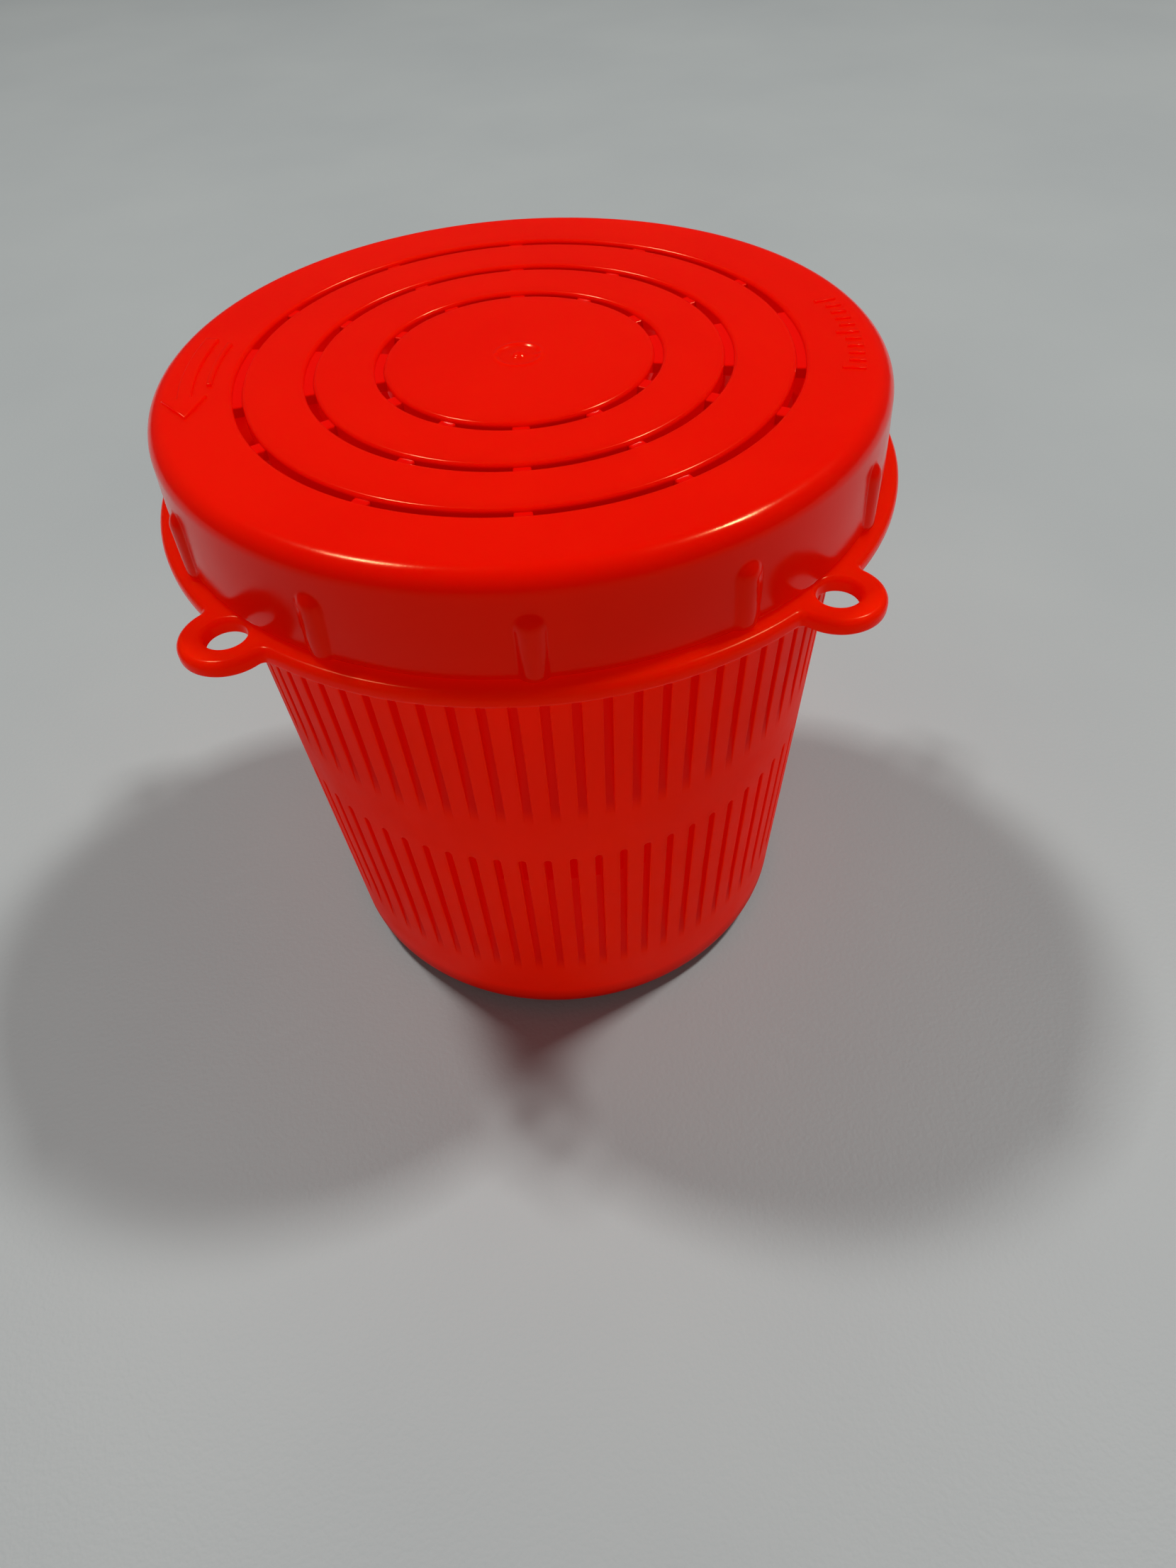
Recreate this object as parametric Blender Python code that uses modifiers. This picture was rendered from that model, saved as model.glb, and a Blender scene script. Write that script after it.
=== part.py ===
"""Vented bait pot: a tapered, slotted pot with a hanging flange, closed by a slotted twist lid.

Run with: blender --background --python part.py
Metres, +Z up. The origin is the centre of the foot, on the surface the pot stands on.
Two injection-moulded pieces, each one object: pot_body and twist_lid.
"""

import math

import bmesh
import bpy
from mathutils import Matrix, Vector

MM = 0.001

# ---- overall ----------------------------------------------------------------
TOTAL_HEIGHT = 112.5  # foot to lid top
STEPS = 72  # facets round the pot
LID_STEPS = 60  # facets round the lid
FACET_TURN = -0.33  # turns the pot's facets so that every wall slot falls inside one

# ---- pot wall ---------------------------------------------------------------
BODY_TOP_R = 51.22  # outside radius where the wall meets the flange
BODY_DRAFT = 0.0727  # radius lost per millimetre of depth
WALL = 1.95
FOOT_ROUND = 5.0
FOOT_RING_INNER_R = 36.4
FOOT_RECESS = 0.8
FLOOR = 2.0
INNER_FLOOR_ROUND = 2.4

# ---- flange and its four hanging ears -----------------------------------------
FLANGE_R = 58.4
FLANGE_TOP = 96.4
FLANGE_UNDER = 94.0
EAR_COUNT = 4
EAR_FIRST = 45.0
EAR_HOLE_AT_R = 59.1
EAR_HOLE_R = 3.0
EAR_R = 6.7

# ---- neck that the lid closes over ---------------------------------------------
NECK_R = 51.4
NECK_INNER_R = 49.6
NECK_TOP = 109.4
NECK_THREAD_R = 51.3
NECK_THREAD_SECTION = 1.1
THREAD_PITCH = 4.0
NECK_THREAD_Z = 100.0
NECK_THREAD_TURNS = 1.5

# ---- wall slots: two staggered rows of draw-cut grooves -----------------------------
# Each groove has an upright floor, so the tapering wall runs out of it: it is deepest,
# and open into the pot, at its top, and fades to nothing at its foot.
SLOT_COUNT = 72
UPPER = {"turn": 0.92, "width": 1.35, "top": 93.2, "floor_r": 48.80, "open_above": 86.1}
LOWER = {"turn": 3.42, "width": 1.20, "top": 50.5, "floor_r": 45.52, "open_above": 41.0}

# ---- lid ------------------------------------------------------------------------
LID_R = 55.65
LID_FLARE = 0.35  # extra radius at the foot of the skirt
LID_EDGE_ROUND = 3.2
LID_PLATE = 2.2
SKIRT_FOOT = 96.7
SKIRT_INNER_R = 53.4
LID_THREAD_R = 53.6
LID_THREAD_SECTION = 0.9
LID_THREAD_Z = 98.0
LID_THREAD_TURNS = 1.25
LID_TURN = 0.3  # where the lid comes to rest when it is screwed home

RIB_COUNT = 12
RIB_AT_R = 54.75
RIB_SECTION = 1.9
RIB_TOP = 106.4

GROOVE_R = (21.1, 31.6, 42.1)
GROOVE_WIDTH = 1.5
GROOVE_DEPTH = 0.8
LID_SLOT_WIDTH = 1.3
BRIDGE_COUNT = 12
BRIDGE_HALF = 1.3  # half the width of a bridge across a groove
LAND_HALF_ANGLE = 12.7  # the two bridges on the X sides are wide lands
LAND_BRIDGES = (3, 9)

# ---- moulding gate at the middle of the lid
GATE_RECESS_R = 3.0
GATE_RECESS = 0.3
GATE_NUB_R = 1.0


def clear_scene():
    for obj in list(bpy.data.objects):
        bpy.data.objects.remove(obj, do_unlink=True)


def collection(name):
    made = bpy.data.collections.new(name)
    bpy.context.scene.collection.children.link(made)
    return made


def plastic(name, colour, roughness):
    material = bpy.data.materials.new(name)
    material.use_nodes = True
    shader = material.node_tree.nodes["Principled BSDF"]
    shader.inputs["Base Color"].default_value = (*colour, 1.0)
    shader.inputs["Roughness"].default_value = roughness
    shader.inputs["Metallic"].default_value = 0.0
    material.diffuse_color = (*colour, 1.0)
    return material


def body_r(z):
    """Outside radius of the pot's wall at height z."""
    return BODY_TOP_R - BODY_DRAFT * (FLANGE_UNDER - z)


def arc(centre_r, centre_z, radius, start, end, pieces):
    """Points (r, z) along an arc; angles in degrees, 0 outward and 90 up."""
    points = []
    for i in range(pieces + 1):
        a = math.radians(start + (end - start) * i / pieces)
        points.append((centre_r + radius * math.cos(a), centre_z + radius * math.sin(a)))
    return points


def turned(name, profile, base_z, group, steps, turn):
    """A solid of revolution about Z. The profile's (r, z) points are in millimetres."""
    mesh = bpy.data.meshes.new(name)
    a = math.radians(turn)
    verts = [
        (r * MM * math.cos(a), r * MM * math.sin(a), (z - base_z) * MM) for r, z in profile
    ]
    mesh.from_pydata(verts, [(i, i + 1) for i in range(len(verts) - 1)], [])
    obj = bpy.data.objects.new(name, mesh)
    obj.location = (0.0, 0.0, base_z * MM)
    group.objects.link(obj)
    screw = obj.modifiers.new("turn", "SCREW")
    screw.axis = "Z"
    screw.angle = 2 * math.pi
    screw.steps = steps
    screw.render_steps = steps
    screw.use_merge_vertices = True
    screw.merge_threshold = 1e-6
    screw.use_smooth_shade = True
    return obj


def helper(name, bm, group):
    """Keeps a bmesh as a hidden tool solid with its faces pointing out."""
    bmesh.ops.recalc_face_normals(bm, faces=bm.faces)
    mesh = bpy.data.meshes.new(name)
    bm.to_mesh(mesh)
    bm.free()
    obj = bpy.data.objects.new(name, mesh)
    group.objects.link(obj)
    obj.hide_render = True
    obj.display_type = "WIRE"
    return obj


def boolean(obj, other, operation):
    modifier = obj.modifiers.new(f"{operation.lower()}_{other.name}", "BOOLEAN")
    modifier.operation = operation
    modifier.solver = "EXACT"
    modifier.object = other
    return modifier


def azimuth(degrees):
    """Turn about Z that takes +X to this azimuth, counted from -Y towards +X."""
    return math.radians(degrees - 90.0)


def copies_round(prototype, azimuths):
    """One bmesh with a copy of the prototype, built on +X, at each azimuth."""
    mesh = bpy.data.meshes.new("prototype")
    prototype.to_mesh(mesh)
    prototype.free()
    ring = bmesh.new()
    for degrees in azimuths:
        before = len(ring.verts)
        ring.from_mesh(mesh)
        ring.verts.ensure_lookup_table()
        bmesh.ops.rotate(
            ring,
            verts=ring.verts[before:],
            cent=(0.0, 0.0, 0.0),
            matrix=Matrix.Rotation(azimuth(degrees), 3, "Z"),
        )
    bpy.data.meshes.remove(mesh)
    return ring


def extruded(outline, width):
    """A prism on +X: the (r, z) outline, width millimetres thick across Y."""
    bm = bmesh.new()
    verts = [bm.verts.new((r * MM, -width * MM / 2, z * MM)) for r, z in outline]
    face = bm.faces.new(verts)
    made = bmesh.ops.extrude_face_region(bm, geom=[face])
    moved = [v for v in made["geom"] if isinstance(v, bmesh.types.BMVert)]
    bmesh.ops.translate(bm, verts=moved, vec=(0.0, width * MM, 0.0))
    return bm


def slot_row(name, row, group):
    """The cutter for one row of wall slots, with rounded tops."""
    floor_r, top = row["floor_r"], row["top"]
    fade_z = FLANGE_UNDER - (BODY_TOP_R - floor_r) / BODY_DRAFT
    outside = body_r(top) + 1.6
    inside = body_r(top) - WALL - 1.2
    outline = [
        (floor_r, fade_z - 2.5),
        (outside, fade_z - 2.5),
        (outside, top),
        (inside, top),
        (inside, row["open_above"]),
        (floor_r, row["open_above"]),
    ]
    bm = extruded(outline, row["width"])
    high = [
        e
        for e in bm.edges
        if all(abs(v.co.z - top * MM) < 1e-7 for v in e.verts)
        and abs(e.verts[0].co.y - e.verts[1].co.y) < 1e-7
    ]
    bmesh.ops.bevel(
        bm,
        geom=high,
        offset=row["width"] * MM * 0.36,
        segments=1,
        profile=0.5,
        affect="EDGES",
    )
    pitch = 360.0 / SLOT_COUNT
    ring = copies_round(bm, [row["turn"] + pitch * k for k in range(SLOT_COUNT)])
    return helper(name, ring, group)


def disc_ring(name, radius, sides, low, high, group):
    """Four upright discs at the ears."""
    bm = bmesh.new()
    bmesh.ops.create_cone(
        bm,
        cap_ends=True,
        segments=sides,
        radius1=radius * MM,
        radius2=radius * MM,
        depth=(high - low) * MM,
        matrix=Matrix.Translation((EAR_HOLE_AT_R * MM, 0.0, (low + high) / 2 * MM)),
    )
    spots = [EAR_FIRST + 360.0 / EAR_COUNT * k for k in range(EAR_COUNT)]
    return helper(name, copies_round(bm, spots), group)


def thread(name, radius, section, start_z, turns, group):
    """A round-section thread turn, as a swept curve made into a closed mesh."""
    step = 10.0
    count = int(turns * 360 / step) + 1
    curve = bpy.data.curves.new(name, "CURVE")
    curve.dimensions = "3D"
    curve.bevel_depth = section * MM
    curve.bevel_resolution = 1
    curve.use_fill_caps = True
    spline = curve.splines.new("POLY")
    spline.points.add(count - 1)
    for i in range(count):
        a = math.radians(i * step)
        z = start_z + THREAD_PITCH * i * step / 360
        spline.points[i].co = (radius * MM * math.cos(a), radius * MM * math.sin(a), z * MM, 1.0)
        run_in = min(i, count - 1 - i) * step / 30.0
        spline.points[i].radius = min(1.0, 0.45 + 0.55 * run_in)
    swept = bpy.data.objects.new(name + "_path", curve)
    group.objects.link(swept)
    bpy.context.view_layer.update()
    graph = bpy.context.evaluated_depsgraph_get()
    mesh = bpy.data.meshes.new_from_object(swept.evaluated_get(graph))
    bm = bmesh.new()
    bm.from_mesh(mesh)
    bmesh.ops.remove_doubles(bm, verts=bm.verts, dist=1e-6)
    bpy.data.objects.remove(swept, do_unlink=True)
    bpy.data.meshes.remove(mesh)
    return helper(name, bm, group)


def rib_ring(group):
    """Twelve half-round grip bars with domed tops, for the skirt."""
    bm = bmesh.new()
    bmesh.ops.create_uvsphere(bm, u_segments=12, v_segments=8, radius=RIB_SECTION * MM)
    for v in bm.verts:
        if v.co.z < -1e-7:
            v.co.z -= (RIB_TOP - SKIRT_FOOT) * MM
    centre = Vector((RIB_AT_R * MM, 0.0, (RIB_TOP - RIB_SECTION) * MM))
    bmesh.ops.translate(bm, verts=bm.verts, vec=centre)
    planes = (
        (Vector((0.0, 0.0, (SKIRT_FOOT + 0.15) * MM)), Vector((0.0, 0.0, 1.0))),
        (Vector(((RIB_AT_R - 0.55) * MM, 0.0, 0.0)), Vector((1.0, 0.0, 0.0))),
    )
    for point, normal in planes:
        cut = bmesh.ops.bisect_plane(
            bm,
            geom=bm.verts[:] + bm.edges[:] + bm.faces[:],
            dist=1e-8,
            plane_co=point,
            plane_no=normal,
            clear_inner=True,
        )
        rim = [e for e in cut["geom_cut"] if isinstance(e, bmesh.types.BMEdge)]
        bmesh.ops.contextual_create(bm, geom=rim)
    pitch = 360.0 / RIB_COUNT
    return helper(
        "grip_ribs", copies_round(bm, [LID_TURN + pitch * k for k in range(RIB_COUNT)]), group
    )


def lid_slots(group):
    """The arc slots through the groove floors, left open between the bridges."""
    ring = bmesh.new()
    pitch = 360.0 / BRIDGE_COUNT
    for groove_r in GROOVE_R:
        halves = [
            LAND_HALF_ANGLE if k in LAND_BRIDGES else math.degrees(math.asin(BRIDGE_HALF / groove_r))
            for k in range(BRIDGE_COUNT)
        ]
        for k in range(BRIDGE_COUNT):
            start = LID_TURN + pitch * k + halves[k]
            end = LID_TURN + pitch * (k + 1) - halves[(k + 1) % BRIDGE_COUNT]
            pieces = max(2, round((end - start) / 5.0))
            low, high = TOTAL_HEIGHT - LID_PLATE - 1.0, TOTAL_HEIGHT + 1.0
            section = [
                (groove_r - LID_SLOT_WIDTH / 2, low),
                (groove_r + LID_SLOT_WIDTH / 2, low),
                (groove_r + LID_SLOT_WIDTH / 2, high),
                (groove_r - LID_SLOT_WIDTH / 2, high),
            ]
            a = azimuth(start)
            verts = [
                ring.verts.new((r * MM * math.cos(a), r * MM * math.sin(a), z * MM))
                for r, z in section
            ]
            face = ring.faces.new(verts)
            swept = bmesh.ops.spin(
                ring,
                geom=[face] + list(face.edges) + verts,
                cent=(0.0, 0.0, 0.0),
                axis=(0.0, 0.0, 1.0),
                angle=math.radians(end - start),
                steps=pieces,
                use_merge=False,
                use_duplicate=False,
            )
            del swept
    return helper("lid_arc_slots", ring, group)


def pot_profile():
    """Half section of the pot: floor, inside wall, neck, flange, outside wall, foot."""
    floor_z = FOOT_RECESS + FLOOR
    corner_r = body_r(floor_z) - WALL - INNER_FLOOR_ROUND
    points = [(0.0, floor_z)]
    points += arc(corner_r, floor_z + INNER_FLOOR_ROUND, INNER_FLOOR_ROUND, -90, -4, 3)
    points += [
        (body_r(FLANGE_UNDER) - WALL, FLANGE_UNDER),
        (NECK_INNER_R, NECK_TOP - 0.5),
        (NECK_INNER_R + 0.4, NECK_TOP),
        (NECK_R - 0.4, NECK_TOP),
        (NECK_R, NECK_TOP - 0.5),
        (NECK_R, FLANGE_TOP),
        (FLANGE_R - 1.1, FLANGE_TOP),
        (FLANGE_R - 0.3, FLANGE_TOP - 0.35),
        (FLANGE_R, FLANGE_TOP - 1.1),
        (FLANGE_R, FLANGE_UNDER + 0.5),
        (FLANGE_R - 0.4, FLANGE_UNDER),
        (BODY_TOP_R, FLANGE_UNDER),
    ]
    draft = math.degrees(math.atan(BODY_DRAFT))
    foot_r = body_r(FOOT_ROUND) - FOOT_ROUND / math.cos(math.radians(draft))
    points += arc(foot_r, FOOT_ROUND, FOOT_ROUND, -draft, -90, 4)
    points += [
        (FOOT_RING_INNER_R + 0.8, 0.0),
        (FOOT_RING_INNER_R, FOOT_RECESS),
        (0.0, FOOT_RECESS),
    ]
    return points


def lid_profile():
    """Half section of the lid: grooved top, rounded edge, skirt, underside."""
    top = TOTAL_HEIGHT
    points = [
        (0.0, top - 0.05),
        (GATE_NUB_R, top - 0.05),
        (GATE_NUB_R + 0.2, top - GATE_RECESS),
        (GATE_RECESS_R - 0.3, top - GATE_RECESS),
        (GATE_RECESS_R, top),
    ]
    for groove_r in GROOVE_R:
        inner, outer = groove_r - GROOVE_WIDTH / 2, groove_r + GROOVE_WIDTH / 2
        points += [
            (inner, top),
            (inner, top - GROOVE_DEPTH),
            (outer, top - GROOVE_DEPTH),
            (outer, top),
        ]
    points += arc(LID_R - LID_EDGE_ROUND, top - LID_EDGE_ROUND, LID_EDGE_ROUND, 90, 0, 4)
    foot_r = LID_R + LID_FLARE
    points += [
        (foot_r, SKIRT_FOOT + 0.6),
        (foot_r - 0.15, SKIRT_FOOT + 0.15),
        (foot_r - 0.6, SKIRT_FOOT),
        (SKIRT_INNER_R + 0.3, SKIRT_FOOT),
        (SKIRT_INNER_R, SKIRT_FOOT + 0.3),
        (SKIRT_INNER_R, top - LID_PLATE - 1.5),
        (SKIRT_INNER_R - 1.0, top - LID_PLATE),
        (0.0, top - LID_PLATE),
    ]
    return points


def finish(obj, material):
    """Settles the modifiers into one mesh, shades it and gives it its material."""
    bpy.context.view_layer.update()
    graph = bpy.context.evaluated_depsgraph_get()
    mesh = bpy.data.meshes.new_from_object(obj.evaluated_get(graph))
    obj.modifiers.clear()
    old = obj.data
    obj.data = mesh
    mesh.name = obj.name
    bpy.data.meshes.remove(old)
    bm = bmesh.new()
    bm.from_mesh(mesh)
    bmesh.ops.remove_doubles(bm, verts=bm.verts, dist=2e-6)
    bmesh.ops.dissolve_degenerate(bm, edges=bm.edges, dist=1e-6)
    bm.to_mesh(mesh)
    bm.free()
    mesh.materials.clear()
    mesh.materials.append(material)
    mesh.shade_smooth()
    mesh.set_sharp_from_angle(angle=math.radians(32))


def main():
    clear_scene()
    parts = collection("vented_bait_pot")
    tools = collection("shaping_tools")

    pot = turned("pot_body", pot_profile(), 0.0, parts, STEPS, FACET_TURN)
    boolean(pot, disc_ring("ear_discs", EAR_R, 32, FLANGE_UNDER, FLANGE_TOP, tools), "UNION")
    boolean(
        pot,
        thread(
            "neck_thread",
            NECK_THREAD_R,
            NECK_THREAD_SECTION,
            NECK_THREAD_Z,
            NECK_THREAD_TURNS,
            tools,
        ),
        "UNION",
    )
    boolean(
        pot,
        disc_ring("ear_holes", EAR_HOLE_R, 20, FLANGE_UNDER - 2, FLANGE_TOP + 2, tools),
        "DIFFERENCE",
    )
    boolean(pot, slot_row("upper_slots", UPPER, tools), "DIFFERENCE")
    boolean(pot, slot_row("lower_slots", LOWER, tools), "DIFFERENCE")
    finish(pot, plastic("pot_plastic", (0.80, 0.020, 0.003), 0.30))

    lid = turned("twist_lid", lid_profile(), SKIRT_FOOT, parts, LID_STEPS, 1.4)
    boolean(lid, rib_ring(tools), "UNION")
    boolean(
        lid,
        thread(
            "lid_thread",
            LID_THREAD_R,
            LID_THREAD_SECTION,
            LID_THREAD_Z,
            LID_THREAD_TURNS,
            tools,
        ),
        "UNION",
    )
    boolean(lid, lid_slots(tools), "DIFFERENCE")
    finish(lid, plastic("lid_plastic", (0.86, 0.026, 0.003), 0.26))


main()
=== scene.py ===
"""Looks of the vented bait pot: finer surfaces, plastics, floor, light and camera."""

import math

import bmesh
import bpy
import numpy as np
from mathutils import Matrix, Vector
from mathutils.geometry import delaunay_2d_cdt


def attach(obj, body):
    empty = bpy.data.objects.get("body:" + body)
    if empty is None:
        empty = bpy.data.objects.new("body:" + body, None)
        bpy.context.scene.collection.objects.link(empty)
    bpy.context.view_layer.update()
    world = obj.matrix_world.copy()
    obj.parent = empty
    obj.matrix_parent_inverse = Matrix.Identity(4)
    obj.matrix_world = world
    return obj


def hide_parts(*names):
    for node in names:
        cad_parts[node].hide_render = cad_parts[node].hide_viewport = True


MM = 0.001

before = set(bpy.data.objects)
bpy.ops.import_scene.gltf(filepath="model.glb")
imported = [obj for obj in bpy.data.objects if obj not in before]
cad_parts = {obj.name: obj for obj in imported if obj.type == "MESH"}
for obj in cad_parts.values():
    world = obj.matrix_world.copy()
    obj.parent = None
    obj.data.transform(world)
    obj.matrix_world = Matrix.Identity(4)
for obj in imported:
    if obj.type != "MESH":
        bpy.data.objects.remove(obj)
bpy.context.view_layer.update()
scene = bpy.context.scene


# ---- camera -------------------------------------------------------------------
def make_camera():
    yaw, pitch, roll = math.radians(-0.021), math.radians(47.011), math.radians(-3.889)
    forward = Vector(
        (math.sin(yaw) * math.cos(pitch), math.cos(yaw) * math.cos(pitch), -math.sin(pitch))
    )
    level = Vector((math.cos(yaw), -math.sin(yaw), 0.0))
    above = level.cross(forward)
    right = level * math.cos(roll) + above * math.sin(roll)
    up = above * math.cos(roll) - level * math.sin(roll)
    data = bpy.data.cameras.new("camera")
    data.sensor_fit = "AUTO"
    data.sensor_width = 36.0
    data.lens = 1568.916 / 2212 * 36.0
    data.clip_start = 0.01
    data.clip_end = 20.0
    camera = bpy.data.objects.new("camera", data)
    turn = Matrix((right, up, -forward)).transposed().to_4x4()
    camera.matrix_world = Matrix.Translation((0.006084, -0.162066, 0.19053)) @ turn
    scene.collection.objects.link(camera)
    scene.camera = camera


make_camera()
scene.view_settings.view_transform = "Standard"
scene.view_settings.look = "None"
scene.view_settings.exposure = 0.0
scene.view_settings.gamma = 1.0


# ---- light and floor --------------------------------------------------------------
def area_light(name, place, aim, size, size_y, power, colour=(1.0, 1.0, 1.0)):
    data = bpy.data.lights.new(name, "AREA")
    data.shape = "RECTANGLE"
    data.size = size
    data.size_y = size_y
    data.energy = power
    data.color = colour
    lamp = bpy.data.objects.new(name, data)
    lamp.location = place
    lamp.rotation_euler = (Vector(aim) - Vector(place)).to_track_quat("-Z", "Y").to_euler()
    scene.collection.objects.link(lamp)
    return lamp


def make_world():
    world = bpy.data.worlds.new("studio")
    scene.world = world
    world.use_nodes = True
    tree = world.node_tree
    tree.nodes.clear()
    out = tree.nodes.new("ShaderNodeOutputWorld")
    back = tree.nodes.new("ShaderNodeBackground")
    back.inputs["Color"].default_value = (0.86, 0.90, 0.94, 1.0)
    back.inputs["Strength"].default_value = 0.04
    tree.links.new(back.outputs["Background"], out.inputs["Surface"])


make_world()
area_light("key_right", (0.873, 0.360, 1.630), (0, 0, 0.1), 0.20, 0.20, 18.6)
area_light("key_left", (-0.693, 0.495, 1.684), (0, 0, 0.1), 0.20, 0.20, 16.6)
fill = area_light("fill_front", (0.10, -2.1, 0.85), (0, 0, 0.05), 3.0, 0.9, 10.0)
fill.visible_glossy = False


def make_floor():
    mesh = bpy.data.meshes.new("floor")
    mesh.from_pydata([(-3, -3, 0), (3, -3, 0), (3, 3, 0), (-3, 3, 0)], [], [(0, 1, 2, 3)])
    obj = bpy.data.objects.new("floor", mesh)
    scene.collection.objects.link(obj)
    mat = bpy.data.materials.new("floor")
    mat.use_nodes = True
    tree = mat.node_tree
    link = tree.links.new
    sh = tree.nodes["Principled BSDF"]
    place = tree.nodes.new("ShaderNodeTexCoord")
    wide = tree.nodes.new("ShaderNodeTexNoise")
    wide.inputs["Scale"].default_value = 9.0
    wide.inputs["Detail"].default_value = 4.0
    ramp = tree.nodes.new("ShaderNodeValToRGB")
    ramp.color_ramp.elements[0].position = 0.3
    ramp.color_ramp.elements[0].color = (0.385, 0.405, 0.400, 1)
    ramp.color_ramp.elements[1].position = 0.75
    ramp.color_ramp.elements[1].color = (0.415, 0.435, 0.425, 1)
    pebble = tree.nodes.new("ShaderNodeTexNoise")
    pebble.inputs["Scale"].default_value = 1150.0
    pebble.inputs["Detail"].default_value = 1.5
    bump = tree.nodes.new("ShaderNodeBump")
    bump.inputs["Strength"].default_value = 0.30
    bump.inputs["Distance"].default_value = 0.0002
    link(place.outputs["Object"], wide.inputs["Vector"])
    link(place.outputs["Object"], pebble.inputs["Vector"])
    link(wide.outputs["Fac"], ramp.inputs["Fac"])
    link(ramp.outputs["Color"], sh.inputs["Base Color"])
    link(pebble.outputs["Fac"], bump.inputs["Height"])
    link(bump.outputs["Normal"], sh.inputs["Normal"])
    sh.inputs["Roughness"].default_value = 0.50
    sh.inputs["Specular IOR Level"].default_value = 0.22
    mesh.materials.append(mat)


make_floor()


# ---- materials --------------------------------------------------------------------
def math_node(tree, operation, *values):
    node = tree.nodes.new("ShaderNodeMath")
    node.operation = operation
    for socket, value in zip(node.inputs, values):
        if isinstance(value, (int, float)):
            socket.default_value = value
        else:
            tree.links.new(value, socket)
    return node.outputs[0]


def fade(tree, value, start, stop):
    """0 before start and 1 after stop."""
    node = tree.nodes.new("ShaderNodeMapRange")
    node.inputs["From Min"].default_value = start
    node.inputs["From Max"].default_value = stop
    tree.links.new(value, node.inputs["Value"])
    return node.outputs["Result"]


def reach_and_height(tree, place):
    """Distance from the upright axis, and height."""
    split = tree.nodes.new("ShaderNodeSeparateXYZ")
    tree.links.new(place, split.inputs["Vector"])
    x, y, z = split.outputs
    squares = math_node(tree, "MULTIPLY_ADD", x, x, math_node(tree, "MULTIPLY", y, y))
    return math_node(tree, "SQRT", squares), z


def pot_hollows(tree, place):
    """Masks for the pot: how far a point lies in a wall slot, for the painted slot shade, whether it is inside,
    for the stronger painted glow, and the wall below the flange, for roughness.
    """
    reach, z = reach_and_height(tree, place)
    wall = math_node(tree, "MULTIPLY_ADD", z, 0.0727, 0.0443862)
    depth = math_node(tree, "SUBTRACT", wall, reach)
    groove = math_node(
        tree, "MULTIPLY", fade(tree, depth, 0.00003, 0.00024), fade(tree, z, 0.0942, 0.0938)
    )
    inside = math_node(
        tree, "MULTIPLY", fade(tree, depth, 0.001935, 0.001947), fade(tree, z, 0.0018, 0.0024)
    )
    return groove, inside, fade(tree, z, 0.0934, 0.0924)


def lid_hollows(tree, place):
    """The same two masks for the lid: down in a ring groove or slot, for the painted shade, and on its inside, for
    the stronger painted glow.
    """
    reach, z = reach_and_height(tree, place)
    groove = math_node(
        tree, "MULTIPLY", fade(tree, z, 0.1122, 0.1118), fade(tree, reach, 0.0440, 0.0436)
    )
    inside = math_node(
        tree, "MULTIPLY", fade(tree, z, 0.11045, 0.11033), fade(tree, reach, 0.0542, 0.0538)
    )
    return groove, inside, None


def mixed(tree, factor, first, second):
    node = tree.nodes.new("ShaderNodeMix")
    node.data_type = "RGBA"
    tree.links.new(factor, node.inputs[0])
    for socket, value in ((node.inputs[6], first), (node.inputs[7], second)):
        if isinstance(value, tuple):
            socket.default_value = (*value, 1.0)
        else:
            tree.links.new(value, socket)
    return node.outputs[2]


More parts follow.
